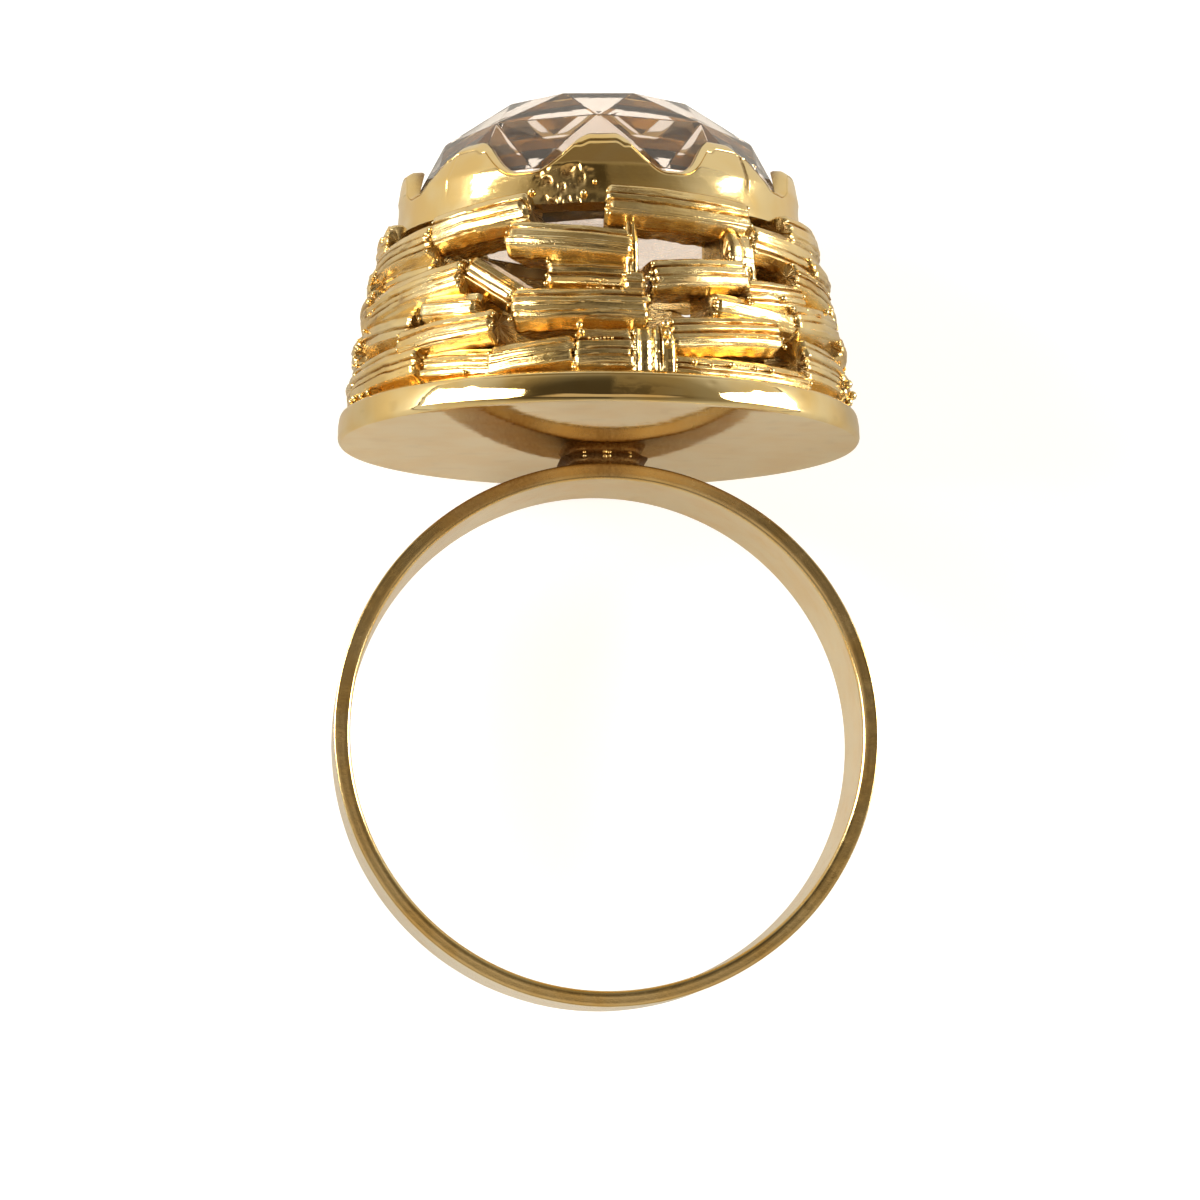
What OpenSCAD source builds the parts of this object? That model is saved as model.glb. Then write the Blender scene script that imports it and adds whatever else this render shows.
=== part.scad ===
// Rock crystal ring: a plain round shank soldered under a tall open head.
// The head has a flat plate, open courses of bark-like staves, a scalloped bezel and a domed cut stone.
// It lies on its side. The head is the heavier end, so the ring rests on the head's collar and on two
// proud staves above it, with the shank raised. Millimetres.
//
// Ring frame, used by the modules: x runs across the ring, y runs along the finger hole and
// z points from the finger hole to the stone. Azimuths on the head count from the -y side,
// which faces up as the ring lies, and grow towards +x.

/* [Shank] */
// Inside diameter of the finger hole
hole_d = 17.5; // [15:0.25:21]
// Thickness of the shank's wall
shank_t = 0.56; // [0.5:0.02:1.5]
// Width of the shank along the finger
shank_w = 4.5; // [3:0.1:5.5]
// Bevel along the shank's four edges
shank_bevel = 0.07; // [0.03:0.01:0.15]
// Distance from the head's axis back to the middle of the shank
shank_back = 3.5; // [0:0.1:3.7]
// Distance that the head sits to the left of the shank's middle
head_side = 0.4; // [0:0.05:0.43]
// Turn of the head's pattern about its own axis, in degrees
head_turn = -4.5; // [-7:0.5:10]

/* [Solder seat] */
// Clear height between the shank's top and the plate
seat_gap = 0.35; // [0.2:0.05:1]
// Width of the solder seat across the shank
seat_w = 1.3; // [0.8:0.1:3]

/* [Base plate] */
// Radius of the plate at its widest
plate_r = 8.88; // [8.7:0.02:9.2]
// Thickness of the plate's floor
floor_t = 0.55; // [0.4:0.05:0.9]
// Height of the smooth collar round the plate
collar_h = 1.05; // [0.95:0.05:1.2]
// Width of the collar's top, where the first course stands
collar_w = 1.7; // [1.4:0.1:2.5]

/* [Gallery] */
// Outside radius of the gallery at the collar
gallery_r = 8.62; // [8.5:0.02:8.7]
// Inward lean of the gallery: radius lost for each millimetre of height
gallery_taper = 0.2; // [0.15:0.01:0.25]
// Depth of a stave from its face to its back
stave_depth = 1.7; // [1.5:0.05:1.8]
// Swell of a stave's face at its middle
stave_swell = 0.09; // [0.03:0.01:0.15]

/* [Bezel] */
// Radius of the scoop cut between two leaves
scoop_r = 1.6; // [1.4:0.05:1.7]
// Height of the bezel's foot above the plate's underside
bezel_foot = 6.9; // [6.6:0.1:7]
// Height of the leaf tips above the plate's underside
bezel_tip = 9.5; // [9.2:0.1:9.8]
// Height of the valleys between leaves above the plate's underside
bezel_valley = 8.15; // [8:0.05:8.3]
// Wall of the bezel
bezel_t = 0.4; // [0.35:0.05:0.5]
// Gap between the stone and the metal
stone_gap = 0.07; // [0.05:0.01:0.1]

/* [Stone] */
// Radius of the stone at its girdle
girdle_r = 6.35; // [6:0.05:6.5]
// Height of the girdle's lower edge above the plate's underside
girdle_z = 7.7; // [7.6:0.05:7.8]
// Height of the girdle's band
girdle_h = 0.55; // [0.4:0.05:0.7]
// Radius of the crown's middle break
break_r = 5.3; // [5.2:0.05:5.4]
// Height of the crown's middle break
break_z = 10.25; // [10.1:0.05:10.4]
// Radius of the table
table_r = 3.4; // [3:0.1:3.6]
// Height of the table
table_z = 11.5; // [11.4:0.05:11.7]
// Number of crown facets in each row
crown_n = 9; // [8:1:12]
// Radius of the flat under the stone
back_r = 4.3; // [4:0.1:4.6]
// Height of the flat under the stone
back_z = 6.95; // [6.85:0.05:7.05]

/* [Hidden] */
$fn = 96;

gold = [0.83, 0.66, 0.33];
clear = [0.86, 0.82, 0.82, 0.6];

hole_r = hole_d / 2;
shank_r = hole_r + shank_t;
shank_near = shank_back - shank_w / 2;
shank_far = shank_back + shank_w / 2;
plate_z = shank_r + seat_gap;

// Rim of the plate, and the heights on the collar where its straight wall ends and its eased top begins
rim_rise = 0.15;
rim_bevel = 0.1;
wall_top = 0.53;
ease_from = 0.92;
ease = 0.12;

// Widest line and upper edge of a stave's face, as shares of half its height below and above its middle
swell_at = 0.3;
brow_at = 0.4;

// Azimuth of each leaf of the bezel
LEAF_AT = [-84, -44.5, 1.6, 41.5, 82, 121, 159, 199, 237];

// Staves of one half turn of the gallery, from the top course down. The other half repeats them.
// Columns: first azimuth, last azimuth, height of the middle, height, slant in degrees, proud
STAVES = [
    [-78, -47,  5.88, 1.15,   4,  0.05],
    [-48, -18,  6.45, 1.25,   6,  0.06],
    [  1.5, 42, 6.68, 1.25,  -3,  0.10],
    [ 41,  72,  5.80, 1.20,  -3,  0.02],
    [ 58, 104,  6.62, 1.25,   2,  0.04],
    [-90, -72,  6.60, 1.30,   0,  0.03],
    [-88, -46,  5.00, 1.00,   1, -0.28],
    [-23,   8,  5.47, 1.10,  -6,  0.22],
    [  6, 9.5,  5.00, 2.40,   0,  0.04],
    [ 34,  42,  5.30, 1.70,   0, -0.04],
    [ 66, 101,  5.36, 1.24,   0,  0.14],
    [-76, -34,  4.25, 1.15,   6,  0.15],
    [-36, -19,  4.25, 0.95, -33, -0.15],
    [-13.5, 9,  4.38, 1.05,  -3, -0.28],
    [  5, 11.5, 3.95, 0.95,   0,  0.09],
    [ 12,  39,  4.46, 1.10,   5,  0.10],
    [ 37,  59,  4.05, 1.05,   4,  0.08],
    [ 54,  79,  4.75, 1.15,  -6,  0.15],
    [ 77, 107,  4.30, 1.25,   3,  0.16],
    [-21, 11.5, 3.22, 1.30,  -1,  0.08],
    [-47, -29,  3.50, 0.95,  -4,  0.04],
    [-53, -24,  2.60, 1.10,   4,  0.15],
    [-82, -50,  3.25, 1.15,  -2, -0.06],
    [ 27,  53,  3.30, 1.00,  -3,  0.02],
    [ 52,  79,  3.45, 1.20,   4,  0.14],
    [ 77, 100,  3.05, 1.25,  -4,  0.20],
    [-76, -44,  1.70, 1.50,   3,  0.14],
    [-45, -24,  1.50, 1.15,  -4, -0.12],
    [-26,  -5,  1.55, 1.15,   6, -0.03],
    [ -6,   8,  1.70, 1.55,   0,  0.06],
    [  7,  13,  1.75, 1.65,   0, -0.08],
    [ 12,  17,  1.80, 1.75,   0,  0.03],
    [ 15.5, 46, 2.47, 1.20,   5,  0.14],
    [ 16,  56,  1.25, 0.80,   0, -0.02],
    [ 54,  77,  1.85, 1.75,  -2,  0.05],
    [ 75, 105,  1.75, 1.60,   1,  0.10]
];

// Outside radius of the gallery at a height above the plate's underside
function gallery_at(z) = gallery_r - gallery_taper * (z - collar_h);

// Resting pose: a straight floor touches the top of the collar's wall and the brows of two proud staves that
// stand on the +y side only, one to either side of it. The stone's end dips towards the floor by dip degrees.
// Their near ends stand foot_turn degrees off +y.
foot_turn = 16;
foot_span = 14;
foot_z = 5.3;
foot_h = 1.1;
foot_proud = 0.54;
rest_r = (gallery_at(foot_z) + foot_proud) * cos(foot_turn);
rest_z = foot_z + foot_h / 2 * brow_at;
dip = atan((plate_r - rest_r) / (rest_z - wall_top));
floor_drop = cos(dip) * plate_r + sin(dip) * (plate_z + wall_top);
table_y = max([for (p = ring_points(crown_n, table_r, 0, head_turn)) -p[1]]);
reach_up = cos(dip) * (plate_z + table_z) + sin(dip) * table_y;
reach_down = cos(dip) * shank_r + sin(dip) * (shank_far - shank_bevel);
middle_y = (reach_up - reach_down) / 2;

// Points of one ring of the stone, starting from the +y side
function ring_points(n, r, z, turn = 0) =
    [for (i = [0:n - 1]) [r * cos(90 + turn + i * 360 / n), r * sin(90 + turn + i * 360 / n), z]];

// Plain band with a true bore and bevelled edges
module shank() {
    b = shank_bevel;
    translate([0, shank_back, 0])
        rotate([90, 0, 0])
            rotate_extrude()
                polygon([
                    [hole_r, -shank_w / 2 + b],
                    [hole_r + b, -shank_w / 2],
                    [shank_r - b, -shank_w / 2],
                    [shank_r, -shank_w / 2 + b],
                    [shank_r, shank_w / 2 - b],
                    [shank_r - b, shank_w / 2],
                    [hole_r + b, shank_w / 2],
                    [hole_r, shank_w / 2 - b]
                ]);
}

// Small pad of solder that joins the shank's top to the plate
module solder_seat() {
    sink = shank_t * 0.6;
    inset = 0.35;
    translate([-seat_w / 2, shank_near + inset, shank_r - sink])
        cube([seat_w, shank_w - 2 * inset, seat_gap + sink + floor_t / 2]);
}

// Flat plate with a smooth, slightly bulging collar wall
module base_plate() {
    rotate_extrude()
        polygon([
            [0, 0],
            [plate_r - rim_bevel, 0],
            [plate_r, rim_rise],
            [plate_r, wall_top],
            [plate_r - ease, ease_from],
            [plate_r - 2 * ease, collar_h],
            [plate_r - collar_w, collar_h],
            [plate_r - collar_w - 2 * ease, floor_t],
            [0, floor_t]
        ]);
}

// One curved stave: a block of the gallery wall with a slightly swollen face
module stave(first, last, z, height, slant, proud) {
    half = height / 2;
    face = gallery_at(z) + proud;
    lean_in = gallery_taper * half;
    back = face - stave_depth - proud;
    rotate([0, 0, (first + last) / 2 - 90])
        translate([0, 0, z])
            rotate([slant, 0, 0])
                rotate([0, 0, -(last - first) / 2])
                    rotate_extrude(angle = last - first)
                        polygon([
                            [back, -half],
                            [face + lean_in - stave_swell, -half],
                            [face + stave_swell / 2, -half * swell_at],
                            [face, half * brow_at],
                            [face - lean_in - stave_swell, half],
                            [back, half]
                        ]);
}

// Courses of staves, open between their ends, and the two proud staves that the ring rests on
module gallery() {
    for (turn = [0, 180])
        rotate([0, 0, turn])
            for (s = STAVES)
                stave(s[0], s[1], s[2], s[3], s[4], s[5]);
    for (first = [-foot_turn - foot_span, foot_turn])
        rotate([0, 0, 180 - head_turn])
            stave(first, first + foot_span, foot_z, foot_h, 0, foot_proud);
}

// Collet that holds the stone, with a bearing under the girdle and leaves that lean over it
module bezel() {
    seat_r = girdle_r + stone_gap;
    bearing_w = 0.75;
    foot_flare = 0.15;
    slope = (girdle_z - back_z) / (girdle_r - back_r);
    bearing_drop = 1.3 * stone_gap;
    bearing_z = girdle_z - bearing_drop;
    girdle_top = girdle_z + girdle_h;
    tip_r = girdle_r - (girdle_r - break_r) * (bezel_tip - girdle_top) / (break_z - girdle_top) + stone_gap;
    difference() {
        rotate_extrude()
            polygon([
                [seat_r - bearing_w, bezel_foot],
                [seat_r + bezel_t + foot_flare, bezel_foot],
                [seat_r + bezel_t + foot_flare / 3, girdle_z],
                [seat_r + bezel_t, girdle_top],
                [tip_r + bezel_t, bezel_tip],
                [tip_r, bezel_tip],
                [seat_r, girdle_top],
                [seat_r, bearing_z],
                [seat_r - bearing_w, bearing_z - bearing_w * slope]
            ]);
        for (i = [0:len(LEAF_AT) - 1])
            scoop(LEAF_AT[i], i < len(LEAF_AT) - 1 ? LEAF_AT[i + 1] : LEAF_AT[0] + 360);
    }
}

// Round cut through the bezel's wall midway between two leaves, wider where the leaves stand further apart
module scoop(from, to) {
    r = scoop_r * (to - from) * len(LEAF_AT) / 360;
    starts_inside = 1;
    through = 4;
    rotate([0, 0, (from + to) / 2 - 90])
        translate([break_r - starts_inside, 0, bezel_valley + r])
            rotate([0, 90, 0])
                cylinder(r = r, h = through);
}

// Everything in gold: soldered metal, one solid
module mounting() {
    color(gold)
        resting() {
            shank();
            solder_seat();
            on_head() {
                base_plate();
                gallery();
                bezel();
            }
        }
}

// Domed, faceted stone: table, two rows of crown facets, girdle and shallow pavilion
module crystal() {
    n = crown_n;
    points = concat(
        ring_points(n, back_r, back_z, 180 / n),
        ring_points(2 * n, girdle_r, girdle_z),
        ring_points(2 * n, girdle_r, girdle_z + girdle_h),
        ring_points(n, break_r, break_z, 180 / n),
        ring_points(n, table_r, table_z)
    );
    low = n;
    high = 3 * n;
    mid = 5 * n;
    top = 6 * n;
    faces = concat(
        [[for (i = [0:n - 1]) i]],
        [for (i = [0:n - 1]) [low + 2 * i, low + 2 * i + 1, i]],
        [for (i = [0:n - 1]) [low + 2 * i + 1, low + (2 * i + 2) % (2 * n), i]],
        [for (i = [0:n - 1]) [low + (2 * i + 2) % (2 * n), (i + 1) % n, i]],
        [for (j = [0:2 * n - 1]) [high + j, high + (j + 1) % (2 * n), low + (j + 1) % (2 * n), low + j]],
        [for (i = [0:n - 1]) [high + 2 * i + 1, high + 2 * i, mid + i]],
        [for (i = [0:n - 1]) [high + (2 * i + 2) % (2 * n), high + 2 * i + 1, mid + i]],
        [for (i = [0:n - 1]) [mid + (i + 1) % n, high + (2 * i + 2) % (2 * n), mid + i]],
        [for (i = [0:n - 1]) [top + (i + 1) % n, mid + (i + 1) % n, mid + i]],
        [for (i = [0:n - 1]) [top + (i + 1) % n, mid + i, top + i]],
        [[for (i = [n - 1:-1:0]) top + i]]
    );
    color(clear)
        resting()
            on_head()
                polyhedron(points, faces);
}

// Place of the head above the finger hole: its own z starts at the plate's underside
module on_head() {
    translate([-head_side, 0, plate_z])
        rotate([0, 0, head_turn])
            children();
}

// Turn from the ring frame to the pose in which the ring lies, origin under the middle of its box
module resting() {
    translate([0, -middle_y, floor_drop])
        rotate([-(90 + dip), 0, 0])
            children();
}

mounting();
crystal();
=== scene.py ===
"""Looks of a gold cocktail ring with a rock crystal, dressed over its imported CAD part.

The ring frame has x across the ring, y along the finger hole and z from the hole to the stone, in millimetres.
The head frame counts azimuths from the -y side, growing towards +x, and heights from the plate's underside.
Shells are made as whole arrays in the ring frame and are turned into the row frame, in metres, when they are built.
"""

import logging
import math
from dataclasses import dataclass
from enum import Enum
from functools import reduce

import bpy
import numpy as np
from mathutils import Matrix, Vector

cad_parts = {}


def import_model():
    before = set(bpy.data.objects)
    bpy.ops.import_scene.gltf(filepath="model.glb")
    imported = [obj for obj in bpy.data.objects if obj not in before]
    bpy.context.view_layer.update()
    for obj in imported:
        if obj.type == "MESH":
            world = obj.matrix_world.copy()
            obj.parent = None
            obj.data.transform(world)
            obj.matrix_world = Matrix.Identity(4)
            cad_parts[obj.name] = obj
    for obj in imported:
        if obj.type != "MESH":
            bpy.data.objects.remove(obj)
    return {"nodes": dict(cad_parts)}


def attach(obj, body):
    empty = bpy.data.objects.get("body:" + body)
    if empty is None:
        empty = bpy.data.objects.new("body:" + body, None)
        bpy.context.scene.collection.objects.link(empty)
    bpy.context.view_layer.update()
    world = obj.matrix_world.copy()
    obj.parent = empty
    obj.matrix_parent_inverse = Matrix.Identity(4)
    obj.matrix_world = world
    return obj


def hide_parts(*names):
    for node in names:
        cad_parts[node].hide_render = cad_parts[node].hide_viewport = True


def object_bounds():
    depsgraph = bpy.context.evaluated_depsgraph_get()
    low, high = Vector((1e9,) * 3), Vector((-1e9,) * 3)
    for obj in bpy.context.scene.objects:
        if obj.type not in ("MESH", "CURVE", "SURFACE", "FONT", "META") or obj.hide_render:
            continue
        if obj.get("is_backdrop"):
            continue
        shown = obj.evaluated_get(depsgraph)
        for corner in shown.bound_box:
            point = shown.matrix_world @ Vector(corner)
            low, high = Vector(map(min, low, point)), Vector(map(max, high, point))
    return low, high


Array = np.ndarray
Colour = tuple[float, float, float, float]
Material = bpy.types.Material
Piece = bpy.types.Object
Socket = bpy.types.NodeSocket
log = logging.getLogger("ring")

# Lattice hash: a multiplier for each axis, shift and multiplier of each round, multiplier and start of the seed
HASH_AXES = (73856093, 19349663, 83492791)
HASH_ROUNDS = ((13, 1274126177), (16, 668265263))
HASH_SEED = (40503, 977)
HASH_MASK = 0xFFFFFFFF


def stack(*parts: Array | float) -> Array:
    """Arrays and numbers, broadcast together, as the last axis of one array."""
    return np.stack(np.broadcast_arrays(*parts), axis=-1)


def smooth(x: Array, low: float, high: float) -> Array:
    """Smoothstep of x from 0 at low to 1 at high."""
    f = np.clip((np.asarray(x) - low) / (high - low), 0.0, 1.0)
    return f * f * (3.0 - 2.0 * f)


def bell(x: Array) -> Array:
    """Bell curve with the height 1 at 0 and 0.37 at 1 and -1."""
    return np.exp(-x ** 2)


def full_turn(count: int) -> Array:
    """Evenly spaced azimuths of one turn, in degrees."""
    return np.arange(count) * 360.0 / count


def linked(name: str, data: bpy.types.ID) -> Piece:
    """Links a new object to the scene.

    Args:
        name: Name of the object.
        data: Its mesh, light or camera.

    Returns:
        The object.
    """
    thing = bpy.data.objects.new(name, data)
    bpy.context.scene.collection.objects.link(thing)
    return thing


@dataclass(frozen=True)
class Pose:
    """Place of the ring frame in the row frame, and of the head in the ring frame.

    Attributes:
        dip: Angle in degrees by which the stone's end dips towards the floor.
        drop: Height in millimetres of the finger hole's axis origin above the floor.
        middle: Distance along +Y from the ring frame's origin to the row's.
        plate_z: Height of the plate's underside above the finger hole's middle.
        head_turn: Turn of the head about its own axis, in degrees.
        head_side: Distance that the head sits towards -x.
    """

    dip: float = 10.134061462540426
    drop: float = 10.534411473181232
    middle: float = 5.621098571483157
    plate_z: float = 9.66
    head_turn: float = -4.5
    head_side: float = 0.4

    def matrix(self) -> Array:
        """Rotation from ring-frame directions to row-frame directions."""
        c, s = math.cos(math.radians(self.dip)), math.sin(math.radians(self.dip))
        return np.array([[1.0, 0.0, 0.0], [0.0, -s, c], [0.0, -c, -s]])

    def row(self, ring: Array) -> Array:
        """Ring-frame millimetres to row-frame metres."""
        return (ring @ self.matrix().T + np.array([0.0, -self.middle, self.drop])) * 0.001

    def head(self, azimuth: Array, radius: Array, height: Array) -> Array:
        """Head cylinder coordinates, with azimuth in degrees, to ring-frame millimetres."""
        a = np.radians(np.asarray(azimuth) + self.head_turn)
        return stack(radius * np.sin(a) - self.head_side, -radius * np.cos(a), np.asarray(height) + self.plate_z)


POSE = Pose()


def lattice_noise(points: Array, seed: int) -> Array:
    """Smooth noise from -1 to 1 on a unit lattice.

    Each lattice corner holds a hashed number, and a point takes the smoothstep blend of its eight corners.

    Args:
        points: Coordinates with three numbers in the last axis, already divided by the cell size.
        seed: Number that picks one of many fields.

    Returns:
        One value for each point.
    """
    base = np.floor(points).astype(np.int64)
    f = points - base
    f = f * f * (3.0 - 2.0 * f)
    total = np.zeros(points.shape[:-1])
    for corner in np.ndindex(2, 2, 2):
        h = np.bitwise_xor.reduce((base + corner) * HASH_AXES, axis=-1) ^ (seed * HASH_SEED[0] + HASH_SEED[1])
        for shift, factor in HASH_ROUNDS:
            h = (h ^ (h >> shift)) * factor & HASH_MASK
        total += np.prod(np.where(corner, f, 1.0 - f), axis=-1) * (h / (HASH_MASK / 2) - 1.0)
    return total


def ripple(x: Array, seed: int, cell: float = 1.0, row: Array | float = 0.0) -> Array:
    """Smooth noise from -1 to 1 along one coordinate, with cells of the given length."""
    return lattice_noise(stack(np.asarray(x, float) / cell, row, 0.5), seed)


class Shell:
    """Closed surfaces of one piece, gathered as arrays in ring-frame millimetres.

    Every vertex carries a stain and painted shade from 0 to 1, and bark coordinates: length along, length round and a
    number of its own.
    """

    def __init__(self, name: str) -> None:
        """Starts an empty shell.

        Args:
            name: Name of the piece that it will build.
        """
        self.name = name
        self._parts: dict[str, list[Array]] = {key: [] for key in ("points", "stain", "bark", "quads", "tris")}
        self._count = 0

    def add(self, points: Array, quads: Array, tris: Array, stain: Array, bark: Array) -> None:
        """Adds one closed surface, turned by its signed volume so that its faces look outwards.

        Args:
            points: Points as [point, xyz].
            quads: Point numbers of the faces with four corners.
            tris: Point numbers of the faces with three.
            stain: Stain and painted shade of each point.
            bark: Bark coordinates of each point.
        """
        flat = np.concatenate([quads[:, [0, 1, 2]], quads[:, [0, 2, 3]], tris])
        p = (points - points.mean(axis=0))[flat]
        if np.einsum("ij,ij->i", p[:, 0], np.cross(p[:, 1], p[:, 2])).sum() < 0:
            quads, tris = quads[:, ::-1], tris[:, ::-1]
        found = (points, stain, bark, quads + self._count, tris + self._count)
        for gathered, values in zip(self._parts.values(), found):
            gathered.append(values)
        self._count += len(points)

    def loft(self, rings: Array, stain: Array | float = 0.0, bark: Array | None = None, wrap: bool = False) -> None:
        """Adds a surface through closed rings of points.

        Quads join point j of a ring to point j + 1 and to the next ring. Each of the two ends is closed by a fan
        round its mean point, or they are joined to each other.

        Args:
            rings: Points as [ring, point, xyz].
            stain: Stain and painted shade of each point as [ring, point], or one number.
            bark: Bark coordinates as [ring, point, 3].
            wrap: Joins the last ring to the first, as for a torus.
        """
        n, m = rings.shape[:2]
        stain = np.broadcast_to(stain, (n, m)).reshape(-1)
        bark = (rings if bark is None else bark).reshape(-1, 3)
        i, j = np.meshgrid(np.arange(n if wrap else n - 1), np.arange(m), indexing="ij")
        i2, j2 = (i + 1) % n, (j + 1) % m
        quads = stack(i * m + j, i * m + j2, i2 * m + j2, i2 * m + j).reshape(-1, 4)
        points = rings.reshape(-1, 3)
        tris = np.zeros((0, 3), int)
        if not wrap:
            a = np.arange(m)
            b = (a + 1) % m
            tris = np.concatenate([stack(n * m, b, a), stack(n * m + 1, (n - 1) * m + a, (n - 1) * m + b)])
            points = np.concatenate([points, rings[[0, -1]].mean(axis=1)])
            stain, bark = (np.concatenate([values, values[[0, -1]]]) for values in (stain, bark))
        self.add(points, quads, tris, stain, bark)

    def beads(self, centres: Array, radii: Array, stain: float = 0.1) -> None:
        """Adds small beads, each a pole, three rings of eight points and a pole, scaled by its radius.

        Args:
            centres: Middles as [bead, xyz].
            radii: Radius of each bead.
            stain: Stain and painted shade of all of them.
        """
        if not len(centres):
            return
        lat, lon = np.radians([[45.0], [90.0], [135.0]]), np.radians(full_turn(8))
        ring = stack(np.sin(lat) * np.cos(lon), np.sin(lat) * np.sin(lon), np.cos(lat)).reshape(-1, 3)
        unit = np.concatenate([ring, [[0, 0, 1.0]], [[0, 0, -1.0]]])
        a = np.arange(8)
        b = (a + 1) % 8
        quads = np.concatenate([stack(k + a, k + 8 + a, k + 8 + b, k + b) for k in (0, 8)])
        pole = len(ring)
        tris = np.concatenate([stack(pole, a, b), stack(pole + 1, 16 + b, 16 + a)])
        points = (centres[:, None] + unit * radii[:, None, None]).reshape(-1, 3)
        step = (np.arange(len(centres)) * len(unit))[:, None, None]
        self.add(points, (quads + step).reshape(-1, 4), (tris + step).reshape(-1, 3),
                 np.full(len(points), stain), points)

    def build(self, material: Material, sharp: float = 50.0, slot: str = "gold") -> Piece:
        """Makes the mesh object at the origin of the row frame and lets it ride on the root body.

        Args:
            material: Finish of the whole piece.
            sharp: Angle in degrees above which an edge is drawn sharp.
            slot: Not used.

        Returns:
            The piece.
        """
        points, stain, bark, quads, tris = (np.concatenate(part) for part in self._parts.values())
        points = POSE.row(points)
        corners = np.concatenate([quads.ravel(), tris.ravel()])
        starts = np.concatenate([np.arange(len(quads)) * 4, len(quads) * 4 + np.arange(len(tris)) * 3])
        mesh = bpy.data.meshes.new(self.name)
        for items, name, values, kind in ((mesh.vertices, "co", points, np.float32),
                                          (mesh.loops, "vertex_index", corners, np.int32),
                                          (mesh.polygons, "loop_start", starts, np.int32)):
            items.add(len(values))
            items.foreach_set(name, values.astype(kind).ravel())
        mesh.update(calc_edges=True)
        mesh.validate()
        mesh.polygons.foreach_set("use_smooth", np.ones(len(starts), bool))
        mesh.set_sharp_from_angle(angle=math.radians(sharp))
        for name, kind, field, values in (("stain", "FLOAT", "value", stain), ("bark", "FLOAT_VECTOR", "vector", bark)):
            mesh.attributes.new(name, kind, "POINT").data.foreach_set(field, values.astype(np.float32).ravel())
        mesh.materials.append(material)
        piece = linked(self.name, mesh)
        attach(piece, "root")
        log.info("%s: %d triangles, lowest %.3f mm", self.name, 2 * len(quads) + len(tris), points[:, 2].min() * 1000)
        return piece


class Net:
    """Adds and joins the nodes of one node tree."""

    def __init__(self, tree: bpy.types.NodeTree) -> None:
        """Works on the given tree."""
        self.tree = tree

    def feed(self, inputs: bpy.types.bpy_prop_collection, values: dict) -> None:
        """Sets inputs to values or links them to other nodes' outputs.

        Args:
            inputs: Inputs of one node.
            values: Socket name or number to a value or an output.
        """
        for name, value in values.items():
            if isinstance(value, Socket):
                self.tree.links.new(value, inputs[name])
            else:
                inputs[name].default_value = value

    def add(self, kind: str, inputs: dict | None = None, **settings: object) -> bpy.types.Node:
        """Adds a node, sets its properties and feeds its inputs.

        Args:
            kind: Node type without the ShaderNode prefix.
            inputs: Socket name or number to a value or to another node's output.
            **settings: Node properties.

        Returns:
            The new node.
        """
        node = self.tree.nodes.new("ShaderNode" + kind)
        for name, value in settings.items():
            setattr(node, name, value)
        self.feed(node.inputs, inputs or {})
        return node

    def math(self, operation: str, a: object, b: object = 0.0, c: object = 0.0) -> Socket:
        """Output of a Math node on up to three values or sockets."""
        return self.add("Math", {0: a, 1: b, 2: c}, operation=operation).outputs[0]

    def product(self, *factors: object) -> Socket:
        """Product of two or more values or sockets."""
        return reduce(lambda a, b: self.math("MULTIPLY", a, b), factors)

    def spread(self, value: object, low: float, high: float) -> Socket:
        """Value mapped from the range of low to high on to 0 to 1, clamped, with eased ends."""
        return self.add("MapRange", {0: value, 1: low, 2: high}, interpolation_type="SMOOTHSTEP").outputs[0]

    def mix(self, share: object, a: object, b: object) -> Socket:
        """Colour a, or colour b where share is 1."""
        return self.add("Mix", {0: share, 6: a, 7: b}, data_type="RGBA").outputs[2]

    def noise(self, vector: object, scale: float, detail: float = 3.0, rough: float = 0.6) -> Socket:
        """Value of a noise texture."""
        return self.add("TexNoise", {"Vector": vector, "Scale": scale, "Detail": detail,
                                     "Roughness": rough}).outputs["Fac"]

    def scaled(self, vector: object, *factors: float) -> Socket:
        """Vector stretched by one factor for each axis."""
        return self.add("Mapping", {"Vector": vector, "Scale": factors}).outputs[0]

    def millimetres(self) -> Socket:
        """Object coordinates in millimetres."""
        return self.scaled(self.add("TexCoord").outputs["Object"], 1000.0, 1000.0, 1000.0)


def started(name: str) -> tuple[Material, Net, bpy.types.bpy_prop_collection]:
    """Starts a node material.

    Args:
        name: Its name.

    Returns:
        The material, its net, and the inputs of its Principled shader.
    """
    material = bpy.data.materials.new(name)
    material.use_nodes = True
    return material, Net(material.node_tree), material.node_tree.nodes["Principled BSDF"].inputs


class Lustre(Enum):
    """How a gold surface was left. The value is the share of streaks in its relief."""

    BARK = 1.0
    SOLDERED = 0.8
    WORN = 0.25
    POLISHED = 0.12
    MIRROR = 0.02


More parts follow.
